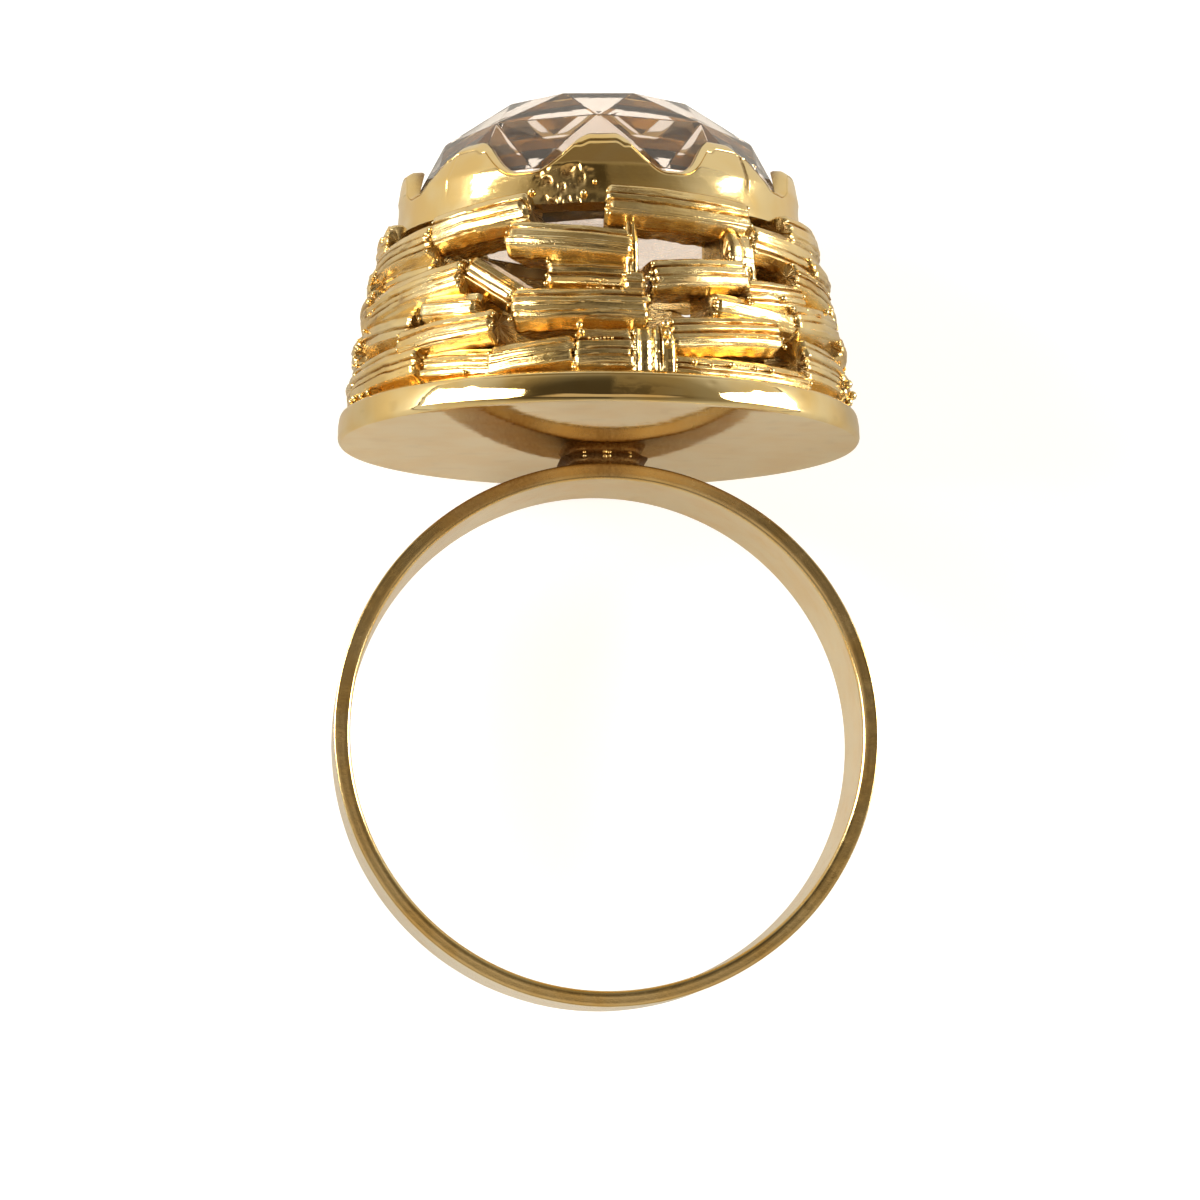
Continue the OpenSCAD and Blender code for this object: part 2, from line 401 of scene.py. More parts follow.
@dataclass(frozen=True)
class GoldFinish:
    """Fourteen carat yellow gold.

    Attributes:
        lustre: Kind of surface.
        roughness: Roughness where the metal is clean.
        grain: Depth of the bump in millimetres.
        darkening: How dark the stain and painted shade are where the stain attribute is 1.
    """

    lustre: Lustre
    roughness: float
    grain: float
    darkening: float = 0.8
    bright: Colour = (0.97, 0.765, 0.39, 1.0)
    warm: Colour = (0.95, 0.67, 0.26, 1.0)
    brown: Colour = (0.19, 0.07, 0.012, 1.0)

    def material(self) -> Material:
        """Makes the node material, whose colour, roughness and relief come from the shared group.

        Returns:
            The material.
        """
        material, net, shader = started("Gold_" + self.lustre.name.lower())
        surface = net.add("Group", node_tree=gold_surface(), inputs={
            "Place": net.add("Attribute", attribute_name="bark").outputs["Vector"], "Millimetres": net.millimetres(),
            "Stain": net.add("Attribute", attribute_name="stain").outputs["Fac"], "Bright": self.bright,
            "Warm": self.warm, "Brown": self.brown, "Roughness": self.roughness, "Darkening": self.darkening,
            "Streaks": self.lustre.value}).outputs
        bump = net.add("Bump", {"Height": surface["Height"], "Strength": 1.0, "Distance": self.grain * 0.001})
        net.feed(shader, {"Base Color": surface["Colour"], "Roughness": surface["Roughness"], "Metallic": 1.0,
                          "Normal": bump.outputs[0]})
        return material


def gold_surface() -> bpy.types.NodeTree:
    """Node group that gives the colour, roughness and relief of worn gold.

    Relief is long streaks, a soft unevenness and fine scratches. Stain and painted shade darken the colour towards
    brown.

    Returns:
        The group, made once and shared by all gold finishes.
    """
    group = bpy.data.node_groups.get("GoldSurface")
    if group is not None:
        return group
    group = bpy.data.node_groups.new("GoldSurface", "ShaderNodeTree")
    for way, kind, names in (("INPUT", "Vector", ("Place", "Millimetres")),
                             ("INPUT", "Float", ("Stain", "Roughness", "Darkening", "Streaks")),
                             ("INPUT", "Color", ("Bright", "Warm", "Brown")),
                             ("OUTPUT", "Color", ("Colour",)), ("OUTPUT", "Float", ("Roughness", "Height"))):
        for name in names:
            group.interface.new_socket(name=name, in_out=way, socket_type="NodeSocket" + kind)
    net = Net(group)
    given = group.nodes.new("NodeGroupInput").outputs
    result = group.nodes.new("NodeGroupOutput").inputs
    drift = net.spread(net.noise(given["Millimetres"], 0.55, 2.0, 0.55), 0.35, 0.68)
    streak = net.noise(net.scaled(given["Place"], 1.1, 15.0, 1.0), 1.0, 4.0)
    fine = net.noise(net.scaled(given["Place"], 6.0, 34.0, 6.0), 1.0, 2.0)
    speck = net.noise(given["Millimetres"], 9.0, 3.0, 0.7)
    patch = net.spread(net.noise(given["Millimetres"], 2.2), 0.45, 0.75)
    # Share of darkening from stain and painted shade, which turns the colour towards brown
    dark_level = net.product(given["Darkening"], given["Stain"], net.math("MULTIPLY_ADD", speck, 0.9, 0.5))
    dark_level = net.add("Clamp", {0: dark_level}).outputs[0]
    clean = net.mix(drift, given["Bright"], given["Warm"])
    worn = net.product(net.math("ADD", given["Streaks"], 0.05), net.spread(streak, 0.35, 0.7))
    rough = net.math("MULTIPLY_ADD", worn, 0.12, given["Roughness"])
    rough = net.math("MULTIPLY_ADD", patch, net.product(given["Roughness"], 0.5), rough)
    relief = net.math("MULTIPLY_ADD", fine, 0.3, net.product(streak, 0.55))
    relief = net.math("MULTIPLY_ADD", patch, 0.15, net.product(relief, given["Streaks"]))
    net.feed(result, {
        "Colour": net.mix(dark_level, clean, given["Brown"]), "Roughness": net.math("MULTIPLY_ADD", dark_level, 0.28, rough),
        "Height": net.math("MULTIPLY_ADD", speck, net.product(given["Streaks"], 0.6), relief)})
    return group


@dataclass(frozen=True)
class CrystalFinish:
    """Polished rock crystal with a faint haze of wear, tinted very slightly warm as painted reflection of the gold
    round it.
    """

    # warm tint: painted reflection of the gold round the stone
    colour: Colour = (0.925, 0.81, 0.715, 1.0)
    index: float = 1.544
    clarity: float = 0.96

    def material(self) -> Material:
        """Makes the clear node material, a little rougher where it is worn.

        Returns:
            The material.
        """
        material, net, shader = started("Crystal_polished")
        place = net.millimetres()
        wear = net.spread(net.noise(place, 1.6, 4.0, 0.65), 0.58, 0.82)
        scratch = net.spread(net.noise(net.scaled(place, 2.0, 26.0, 3.0), 1.0, 2.0, 0.5), 0.66, 0.80)
        rough = net.math("MULTIPLY_ADD", scratch, 0.03, net.product(wear, 0.015))
        net.feed(shader, {"Base Color": self.colour, "Roughness": rough, "Metallic": 0.0,
                          "Transmission Weight": self.clarity, "IOR": self.index})
        return material


@dataclass(frozen=True)
class FloorFinish:
    """Matt pale table top with a faint mottle. It glows for the camera, and for what shows through the stone."""

    pale: Colour = (0.66, 0.652, 0.64, 1.0)
    deep: Colour = (0.63, 0.622, 0.61, 1.0)
    glow: float = 0.62

    def material(self) -> Material:
        """Makes the node material of the floor. The light path's camera and transmission rays mask the glow.

        Returns:
            The material.
        """
        material, net, shader = started("Floor_pale")
        path = net.add("LightPath").outputs
        seen = net.math("MAXIMUM", path["Is Camera Ray"], path["Is Transmission Ray"])
        mottle = net.noise(net.millimetres(), 0.15, 3.0, 0.55)
        net.feed(shader, {"Base Color": net.mix(mottle, self.pale, self.deep), "Roughness": 0.9,
                          "Specular IOR Level": 0.1, "Emission Color": (1.0, 1.0, 1.0, 1.0),
                          "Emission Strength": net.product(seen, self.glow)})
        return material


def lathe(profile: Array, azimuths: Array) -> tuple[Array, Array, Array]:
    """Radii, heights and bark coordinates of a closed profile turned about an axis.

    Args:
        profile: Radius and height of each point as [point, 2].
        azimuths: Degrees.

    Returns:
        Arrays of radii and heights as [azimuth, point], and bark coordinates as [azimuth, point, 3].
    """
    radius, height = (np.broadcast_to(column, (len(azimuths), len(column))) for column in profile.T)
    return radius, height, unrolled(azimuths, radius, height)


def unrolled(azimuths: Array, radius: Array, height: Array) -> Array:
    """Bark coordinates of a turned surface: arc length at the mean radius, length along the profile, and 0."""
    steps = np.hypot(np.diff(radius, axis=1, prepend=radius[:, :1]), np.diff(height, axis=1, prepend=height[:, :1]))
    return stack(np.radians(azimuths)[:, None] * radius.mean(), np.cumsum(steps, axis=1), 0.0)


def turned(name: str, finish: GoldFinish, points: Array, stain: Array, bark: Array, sharp: float = 50.0) -> Piece:
    """Builds the piece of one surface whose last ring joins its first.

    Args:
        name: Name of the piece.
        finish: Its gold.
        points: Points as [ring, point, xyz].
        stain: Stain and painted shade of each point.
        bark: Bark coordinates of each point.
        sharp: Angle in degrees above which an edge is drawn sharp.

    Returns:
        The piece.
    """
    shell = Shell(name)
    shell.loft(points, stain, bark, wrap=True)
    return shell.build(finish.material(), sharp)


def rounded(corners: list[tuple[float, float, float]], steps: int = 5) -> Array:
    """Closed profile with each corner rounded by a quadratic curve.

    Args:
        corners: Radius, height and rounding length of each corner, in order round the profile.
        steps: Points in each rounding.

    Returns:
        The profile's points as [point, 2].
    """
    points = np.array([c[:2] for c in corners])
    out = []
    for k, (_, _, size) in enumerate(corners):
        here, back, ahead = points[k], points[k - 1], points[(k + 1) % len(points)]
        a = here + (back - here) / np.linalg.norm(back - here) * size
        b = here + (ahead - here) / np.linalg.norm(ahead - here) * size
        t = np.linspace(0.0, 1.0, steps)[:, None] if size > 0 else np.array([[0.5]])
        out.append((1 - t) ** 2 * a + 2 * t * (1 - t) * here + t * t * b)
    return np.concatenate(out)


def refine(profile: Array, step: float) -> Array:
    """Adds evenly spaced points to the sides of a closed profile.

    Args:
        profile: Points as [point, 2].
        step: Greatest distance between neighbours.

    Returns:
        The finer profile.
    """
    out = []
    for a, b in zip(profile, np.roll(profile, -1, axis=0)):
        count = max(1, int(math.ceil(np.linalg.norm(b - a) / step)))
        out.append(a + (b - a) * (np.arange(count) / count)[:, None])
    return np.concatenate(out)


@dataclass
class Shank:
    """Plain round band with softly worn edges.

    Attributes:
        bore: Radius of the finger hole.
        outer: Outside radius.
        near: Distance of the near face from the head's axis.
        far: Distance of the far face.
        bevel: Wear along the edges.
        worn: Wear along the front edge of the finger hole.
        dent: Depth of the slow dents in the outside.
        dish: Depth by which both flat faces dip towards their middle.
    """

    bore: float = 8.75
    outer: float = 9.31
    near: float = 1.25
    far: float = 5.75
    bevel: float = 0.07
    worn: float = 0.16
    dent: float = 0.018
    dish: float = 0.004

    def build(self, finish: GoldFinish) -> Piece:
        """Builds the band as a profile turned about the finger hole's axis.

        A slow noise round the band dents the outside, and both flat faces dip a little, as a filed and polished band
        does. The edges darken more towards the head, and the outside's top, under the plate near the solder, is
        darkened as painted shade.

        Args:
            finish: Gold of the band.

        Returns:
            The piece.
        """
        b, middle = self.bevel, (self.near + self.far) / 2
        profile = refine(rounded([(self.bore, self.near, self.worn), (self.outer, self.near, b),
                                  (self.outer, self.far, b), (self.bore, self.far, b)]), 0.085)
        angles = full_turn(540)
        radius, along, bark = lathe(profile, angles)
        a = np.radians(angles)[:, None]
        dents = 0.5 + 0.5 * lattice_noise(stack(np.cos(a) * 6.0, np.sin(a) * 6.0, along * 0.6), 11)
        inside = smooth(radius, self.bore, self.bore + 0.1)
        radius = radius - self.dent * dents * smooth(radius, self.outer - 0.12, self.outer)
        sunk = 1.0 - np.abs(2.0 * (radius - self.bore) / (self.outer - self.bore) - 1.0)
        along = along + self.dish * sunk * np.where(along < middle, 1.0, -1.0) * inside
        edge = smooth(np.abs(along - middle), 2.16, 2.24) * (0.1 + 0.75 * smooth(np.cos(a), -0.3, 1.0))
        # painted shade: the outside's top, under the plate beside the solder, is darkened
        crown = smooth(np.cos(a), 0.68, 0.90) * smooth(radius, self.outer - 0.1, self.outer - 0.03)
        stain = np.clip(0.04 + edge * dents + 0.9 * crown, 0.0, 1.0)
        return turned("shank", finish, stack(radius * np.sin(a), along, radius * np.cos(a)), stain, bark)


@dataclass
class SolderSeat:
    """Saddle of solder between the band and the plate, with bright drops on its front. The saddle is darkened all over
    as painted shade of the gap under the plate.

    Attributes:
        half_wide: Half width at the waist.
        near: Near end along the finger.
        far: Far end.
        waist: Height of the waist.
        band: Outside radius of the band under it.
    """

    half_wide: float = 1.2
    near: float = 1.62
    far: float = 5.38
    waist: float = 9.47
    band: float = 9.31
    # Place and radius of each bright drop
    DROPS = np.array([(-0.75, 1.66, 9.60, 0.08), (-0.05, 1.60, 9.58, 0.10), (0.10, 1.62, 9.60, 0.09),
                      (0.82, 1.68, 9.61, 0.07)])

    def build(self, finish: GoldFinish) -> Piece:
        """Builds the saddle as rounded oblong rings stacked from the band to the plate.

        A ring is a superellipse. Its half width flares by the square of the height's distance from the waist, so the
        solder creeps out on both the band and the plate. The rings below the band's top follow its curve.

        Args:
            finish: Rough soldered gold, darkened as painted shade.

        Returns:
            The piece.
        """
        height = np.linspace(9.0, 9.70, 24)[:, None]
        turn = np.arange(96) / 96 * 2 * math.pi
        flare = 0.34 * np.clip(((height - self.waist) / 0.2) ** 2, 0.0, 1.2)
        c, s = np.cos(turn), np.sin(turn)
        creep = 1.0 + 0.16 * ripple(turn * 3, 5)
        x = (self.half_wide + flare * creep) * (np.sign(c) * np.abs(c) ** 0.6)
        half_long = (self.far - self.near) / 2 + flare * 0.35 * creep
        y = (self.near + self.far) / 2 + half_long * (np.sign(s) * np.abs(s) ** 0.45)
        points = stack(x, y, height + np.where(height < self.band, np.sqrt(self.band ** 2 - x ** 2) - self.band, 0.0))
        points += 0.012 * lattice_noise(points * 4.0, 9)[..., None] * np.array([1.0, 1.0, 0.0])
        shell = Shell("solder_seat")
        # painted shade: the whole saddle is darkened, as it sits in the gap under the plate; the drops stay clean
        shell.loft(points, stain=0.95)
        shell.beads(self.DROPS[:, :3], self.DROPS[:, 3], 0.0)
        return shell.build(finish.material())


@dataclass
class BasePlate:
    """Flat polished plate with its smooth, slightly bulging collar wall.

    Attributes:
        radius: Outside radius.
        collar: Height of the collar's top.
        ledge: Width of that top, on which the gallery stands.
        floor: Thickness of the plate inside the collar.
    """

    radius: float = 8.88
    collar: float = 1.05
    ledge: float = 1.7
    floor: float = 0.55

    def build(self, finish: GoldFinish) -> Piece:
        """Builds the plate as a profile turned about the head's axis.

        Noise with cells of about 2.5 mm dents the collar wall inwards by up to 0.03 mm and the underside by up to
        0.006 mm, so that reflections waver in both as they do in hand-polished gold.

        Args:
            finish: Polished gold.

        Returns:
            The piece.
        """
        r, ledge = self.radius, self.radius - self.ledge
        profile = refine(rounded([
            (0.02, 0.0, 0.0), (r - 0.10, 0.0, 0.05), (r, 0.15, 0.09), (r, 0.53, 0.2), (r - 0.075, 0.92, 0.12),
            (r - 0.26, self.collar, 0.08), (ledge, self.collar, 0.06), (ledge - 0.24, self.floor, 0.06),
            (0.02, self.floor, 0.0)], 6), 0.30)
        angles = 180.0 + full_turn(540)
        radius, height, bark = lathe(profile, angles)
        a = np.radians(angles)[:, None]
        spots = stack(np.cos(a) * radius / 2.6, np.sin(a) * radius / 2.6, height / 1.2)
        dents = 0.5 + 0.5 * lattice_noise(spots, 21)
        nicks = smooth(lattice_noise(spots * 5.0, 23), 0.45, 0.9)
        wall = smooth(radius, r - 0.4, r - 0.15) * smooth(height, 0.1, 0.3)
        radius = radius - wall * (0.03 * dents + 0.012 * nicks)
        height = height + smooth(-height, -0.02, 0.0) * smooth(r - radius, 0.1, 0.9) * 0.006 * dents
        # painted shade: darker along the collar's top, where the staves stand, and on the floor inside the collar under
        # the gallery; the nicks are real marks
        stain = 0.02 + 0.35 * smooth(height, self.collar - 0.12, self.collar) + 0.12 * nicks
        stain = np.where((height >= self.floor - 0.02) & (radius < ledge), 0.3, stain)
        return turned("base_plate", finish, POSE.head(angles[:, None], radius, height), stain, bark)


@dataclass(frozen=True)
class StaveRow:
    """One stave of the gallery: azimuths in degrees, heights and proudness in millimetres, slant in degrees."""

    first: float
    last: float
    middle: float
    height: float
    slant: float
    proud: float


HALF_TURN = [StaveRow(*row) for row in (
    (-78, -47, 5.88, 1.15, 4, 0.05), (-48, -18, 6.45, 1.25, 6, 0.06), (1.5, 42, 6.68, 1.25, -3, 0.10),
    (41, 72, 5.80, 1.20, -3, 0.02), (58, 104, 6.62, 1.25, 2, 0.04), (-90, -72, 6.60, 1.30, 0, 0.03),
    (-88, -46, 5.00, 1.00, 1, -0.28), (-23, 8, 5.47, 1.10, -6, 0.22), (6, 9.5, 5.00, 2.40, 0, 0.04),
    (34, 42, 5.30, 1.70, 0, -0.04), (66, 101, 5.36, 1.24, 0, 0.14), (-76, -34, 4.25, 1.15, 6, 0.15),
    (-36, -19, 4.25, 0.95, -33, -0.15), (-13.5, 9, 4.38, 1.05, -3, -0.28), (5, 11.5, 3.95, 0.95, 0, 0.09),
    (12, 39, 4.46, 1.10, 5, 0.10), (37, 59, 4.05, 1.05, 4, 0.08), (54, 79, 4.75, 1.15, -6, 0.15),
    (77, 107, 4.30, 1.25, 3, 0.16), (-21, 11.5, 3.22, 1.30, -1, 0.08), (-47, -29, 3.50, 0.95, -4, 0.04),
    (-53, -24, 2.60, 1.10, 4, 0.15), (-82, -50, 3.25, 1.15, -2, -0.06), (27, 53, 3.30, 1.00, -3, 0.02),
    (52, 79, 3.45, 1.20, 4, 0.14), (77, 100, 3.05, 1.25, -4, 0.20), (-76, -44, 1.70, 1.50, 3, 0.14),
    (-45, -24, 1.50, 1.15, -4, -0.12), (-26, -5, 1.55, 1.15, 6, -0.03), (-6, 8, 1.70, 1.55, 0, 0.06),
    (7, 13, 1.75, 1.65, 0, -0.08), (12, 17, 1.80, 1.75, 0, 0.03), (15.5, 46, 2.47, 1.20, 5, 0.14),
    (16, 56, 1.25, 0.80, 0, -0.02), (54, 77, 1.85, 1.75, -2, 0.05), (75, 105, 1.75, 1.60, 1, 0.10))]
FEET = [StaveRow(first + 184.5, first + 198.5, 5.3, 1.1, 0, 0.54) for first in (-30.0, 16.0)]


@dataclass
class Stave:
    """One bark-like stave.

    Attributes:
        row: Its place and size.
        turn: Degrees that the row is turned about the head's axis.
        seed: Number from which all its grooves and ragged ends follow.
    """

    row: StaveRow
    turn: float
    seed: int
    # Radius of the faces at the collar's height, inward lean for each millimetre up, and depth of a stave
    COLLAR_RADIUS, COLLAR_HEIGHT, LEAN, DEPTH = 8.62, 1.05, 0.2, 1.7
    # Half widths of a groove, of a raised wire and of the painted shade and dirt along a groove
    GROOVE, WIRE, DIRT = 0.030, 0.036, 0.045
    # Sizes of the rings that close an end, in shares of the last full ring
    CAPS = np.array([[0.8], [0.5], [0.2]])

    def __post_init__(self) -> None:
        """Draws the numbers that are this stave's own."""
        draw = self.random = np.random.default_rng(self.seed)
        row = self.row
        self.base = self.COLLAR_RADIUS - self.LEAN * (row.middle - self.COLLAR_HEIGHT)
        self.face = self.base + row.proud
        self.half = row.height / 2
        self.span = math.radians(row.last - row.first)
        self.length = self.span * self.face
        self.post = row.height > 1.15 * self.length
        self.across = self.length if self.post else row.height
        self.ridges = max(2 if self.post else 3, int(round(self.across / draw.uniform(0.22, 0.33))))
        inner = np.arange(1, self.ridges) + draw.uniform(-0.33, 0.33, self.ridges - 1)
        self.knots = np.sort([0, *inner, self.ridges]) / self.ridges
        self.level = draw.uniform(-0.10, 0.0, self.ridges + 2)
        self.level[draw.integers(0, self.ridges)] = 0.0
        self.tilt = draw.uniform(-0.16, 0.16, self.ridges + 2)
        self.wire = draw.random(self.ridges + 2) < 0.4
        self.dark_level = draw.choice([0.02, 0.10, 0.45], self.ridges + 2, p=[0.45, 0.30, 0.25])
        self.ends = draw.uniform(-0.02, 0.05 if self.post else 0.20, (2, self.ridges + 2))

    def section(self) -> tuple[Array, Array, Array]:
        """Loop of the cross-section.

        The face follows the swollen polyline of the CAD stave. Its upper corner is chamfered, the underside slants
        back and down from the face's lower edge, and the top, back and bottom are straight.

        Returns:
            Radius, height from the stave's middle, and share of face (1 on the face) of each point.
        """
        half, lean, swell, cut = self.half, self.LEAN * self.half, 0.09, 0.06
        under, sag = (0.06, 0.0) if self.post else (0.22 * self.row.height, 0.13)
        t = np.linspace(-half + under, half - cut, 40)
        face = np.interp(t, [-half, -0.3 * half, 0.4 * half, half],
                         [self.face + lean - swell, self.face + swell / 2, self.face, self.face - lean - swell])
        back = self.base - self.DEPTH
        inset = face[0] - 1.3 * (under + sag)
        top = np.linspace(face[-1] - cut, back, 8)
        low = np.linspace(back, inset, 7)
        spine = np.linspace(half, -half, 6)[1:-1]
        slope = np.linspace(0.0, 1.0, 7)[1:-1]
        radius = np.concatenate([face, top, np.full(4, back), low, inset + (face[0] - inset) * slope])
        height = np.concatenate([t, np.full(8, half), spine, np.full(7, -half - sag),
                                 -half - sag + (under + sag) * slope])
        share = np.concatenate([np.ones(40), smooth(top, face[-1] - 0.35, face[-1]), np.zeros(11), 0.8 * slope])
        return radius, height, share

    def relief(self, p: Array, ridge: Array, along: Array) -> tuple[Array, Array, Array]:
        """Height of the ridges over the smooth face.

        Grooves lie where the ridge number p is whole: narrow bells whose depth drifts along the stave, some of them
        filled by a raised wire. Every ridge keeps its own level and tilt.

        Args:
            p: Ridge number, which grows with the height over the face.
            ridge: The same in whole numbers.
            along: Length along the ridges.

        Returns:
            Relief in millimetres, share of wire, and darkness of the open grooves, which is painted shade and dirt.
        """
        near = np.clip(np.round(p), 0, self.ridges).astype(int)
        gap = np.abs(p - near) * self.across / self.ridges
        inner = (near > 0.5) & (near < self.ridges - 0.5)
        wired = self.wire[near]
        fade = smooth(lattice_noise(stack(along / 1.3, near * 7.3, 0.5), self.seed + 2), -0.55, 0.35)
        wire = np.where(wired & inner, (0.4 + 0.6 * fade) * bell(gap / self.WIRE), 0.0)
        groove = np.where(inner, (0.02 + 0.09 * fade) * bell(gap / self.GROOVE), 0.0)
        groove = np.where(wired, -0.05 * wire, groove)
        # painted shade and dirt: the open grooves are darkened
        dark = np.where(inner & ~wired, (0.25 + 0.7 * fade) * bell(gap / self.DIRT), 0.0)
        blend = smooth(p - ridge, 0.90, 1.0) * 0.5
        before = smooth(p - ridge, 0.10, 0.0) * 0.5
        level = (self.level[ridge] * (1 - blend - before) + self.level[ridge + 1] * blend
                 + self.level[np.maximum(ridge - 1, 0)] * before)
        level = level * (0.75 + 0.25 * ripple(along, self.seed + 7, 1.1))
        lean = self.tilt[ridge] + 0.10 * ripple(along, self.seed + 9, 0.8, 3.0) * np.sign(self.tilt[ridge])
        facet = -np.abs(lean) * 0.14 + lean * np.clip(p - ridge - 0.5, -0.5, 0.5) * self.across / self.ridges
        return level + facet - groove, wire, dark

    def ragged(self, arc: Array, tooth: Array, weight: Array) -> Array:
        """Gives every ridge its own start and stop, which even out away from the ends.

        Args:
            arc: Length along the stave.
            tooth: Ridge number in whole numbers.
            weight: Share of face.

        Returns:
            The new length along the stave.
        """
        settle = min(0.6, self.length / 2.5)
        start, stop = (self.ends[k][tooth] * (1.0 - smooth(inwards, 0.0, settle))
                       for k, inwards in enumerate((arc, self.length - arc)))
        return arc + (start - stop) * (0.35 + 0.65 * weight)

    def surface(self) -> tuple[Array, Array, Array]:
        """Rings of the stave, their stain and painted shade, and their bark coordinates.

        The face takes the ridges and a fine grain. Noise waves the height and roughens the other sides, and both
        ends taper a little behind a low knob.

        Returns:
            Rings in the ring frame as [ring, point, xyz], stain and painted shade, and bark coordinates.
        """
        row, length, ridges = self.row, self.length, self.ridges
        radius, height, share = self.section()
        steps = np.linspace(0.0, 1.0, max(14, int(round(length / 0.10))))
        u, rad = np.meshgrid(steps, radius, indexing="ij")
        t, weight = np.broadcast_to(height, u.shape), np.broadcast_to(share, u.shape)
        arc = u * length
        along, over = (t, u) if self.post else (arc, np.clip((t + self.half) / row.height, 0.0, 1.0))
        wobble = 0.20 * ripple(along, self.seed, 1.7) + 0.10 * ripple(along, self.seed + 1, 0.5)
        p = np.interp(over, self.knots, np.arange(ridges + 1.0)) + wobble * np.sin(math.pi * over)
        ridge = np.clip(np.floor(p), 0, ridges - 1).astype(int)
        relief, wire, dark = self.relief(p, ridge, along)
        grain = 0.006 * lattice_noise(stack(arc / 0.5, t / 0.09, weight * 3.0), self.seed + 3)
        rad = rad + weight * (relief + grain - 0.006)
        t = t * (1.0 - 0.07 * (0.5 + 0.5 * ripple(arc, self.seed + 4, 0.9)))
        rough = lattice_noise(stack(arc / 0.28, rad / 0.3, t / 0.3), self.seed + 5)
        t = t + (1 - weight) * 0.035 * rough * np.sign(-t)
        tip = np.minimum(arc, length - arc)
        taper = (1.0 - smooth(tip, 0.0, min(0.16, length / 4))) ** 2
        t = t * (1.0 - 0.13 * taper)
        knob = 0.035 * bell((tip - 0.15) / 0.07) * weight
        rad = rad - weight * 0.06 * taper + knob * (0.5 + 0.5 * ripple(ridge, self.seed + 6))
        tooth = np.clip(np.floor(over * ridges), 0, ridges - 1).astype(int) if self.post else ridge
        blotch = smooth(lattice_noise(stack(arc / 0.45, t / 0.16, rad / 0.5), self.seed + 11), 0.0, 0.7)
        own = self.dark_level[ridge] * (0.35 + blotch) + 0.15 * blotch
        own = np.maximum(own * (1 - wire), dark)
        # painted shade: the sides off the face (top, back and underside) are darkened by 0.36; the planks' own tones
        # are random dirt
        stain = np.clip(own * smooth(weight, 0.5, 1.0) + (1 - weight) * 0.36, 0, 1)
        around = np.cumsum(np.hypot(np.diff(radius, prepend=radius[0]), np.diff(height, prepend=height[0])))
        bark = (around, arc) if self.post else (arc, around)
        grid = np.broadcast_arrays(self.ragged(arc, tooth, weight), rad, t, stain, *bark, self.seed * 3.7)
        at, rad, t, stain, *bark = self.capped(np.stack(grid))
        return self.placed((at / length - 0.5) * self.span, rad, t), stain, stack(*bark)

    def capped(self, grid: Array) -> Array:
        """Adds three shrinking, roughened rings to both ends of the stave.

        Args:
            grid: Length, radius, height, stain and painted shade, and bark coordinates as [quantity, ring, point].

        Returns:
            The same with six rings more.
        """
        scale, caps = self.CAPS, []
        for end, side in ((0, -1.0), (-1, 1.0)):
            last = grid[:, [end]]
            middle = last[:3].mean(axis=-1, keepdims=True)
            cap = np.repeat(last, len(scale), axis=1)
            cap[:3] = middle + (last[:3] - middle) * scale
            bumps = 0.05 * ripple(np.arange(grid.shape[2]) * 0.35, self.seed + 8 + end, 1.0, scale * 9)
            cap[0] += side * (0.03 * (1 - scale) + bumps)
            # painted shade: the end caps are darkened
            cap[3] = 0.55
            caps.append(cap)
        return np.concatenate([caps[0][:, ::-1], grid, caps[1]], axis=1)

    def placed(self, angle: Array, rad: Array, t: Array) -> Array:
        """Slants the stave about its middle radius and turns it to its azimuth.

        Args:
            angle: Angle in radians from the stave's middle.
            rad: Radius.
            t: Height from the stave's middle.

        Returns:
            Points in ring-frame millimetres.
        """
        row = self.row
        slant = math.radians(row.slant)
        x = rad * np.cos(angle)
        y = rad * np.sin(angle) * math.cos(slant) - t * math.sin(slant)
        z = row.middle + rad * np.sin(angle) * math.sin(slant) + t * math.cos(slant)
        azimuth = np.degrees(np.arctan2(y, x)) + (row.first + row.last) / 2 + self.turn
        return POSE.head(azimuth, np.hypot(x, y), z)

    def drops(self) -> tuple[Array, Array]:
        """Small cast beads where the ridges end, and now and then a chain along the face.

        Returns:
            Middles in ring-frame millimetres and radii.
        """
        draw, length, face = self.random, self.length, self.face
        rows = max(3, int(round(self.row.height / 0.3)))
        middles = (np.arange(rows) + 0.5) / rows * self.row.height - self.half
        found = []
        for end in (0, 1):
            keep = draw.random(rows) < (0.35 if self.post else 0.7)
            inset = draw.uniform(0.02, 0.14, rows) / length
            found.append(np.stack([
                1.0 - inset if end else inset, face - self.LEAN * middles - 0.07 + draw.uniform(-0.1, 0.01, rows),
                middles * 0.9 + draw.uniform(-0.05, 0.05, rows), draw.uniform(0.05, 0.095, rows)])[:, keep])
        for level in draw.permutation([-1.0, -0.45, 0.1, 0.55])[:int(draw.integers(0, 3))]:
            if length < 1.8:
                continue
            count = int(draw.integers(5, 13))
            step = draw.uniform(0.10, 0.15)
            a = draw.uniform(0.04, 0.6) + np.arange(count) * step / length
            a = a[a < 0.96]
            jitter = draw.uniform(-1.0, 1.0, (3, len(a)))
            high = level * (self.half - 0.06) + 0.03 * jitter[0]
            sunk = 0.16 if level == -1.0 else 0.055
            found.append(np.stack([a, face - self.LEAN * high - sunk + 0.02 * jitter[1], high,
                                   0.042 + 0.012 * jitter[2]]))
        share, rad, t, size = np.concatenate(found, axis=1)
        return self.placed((share - 0.5) * self.span, rad, t), size


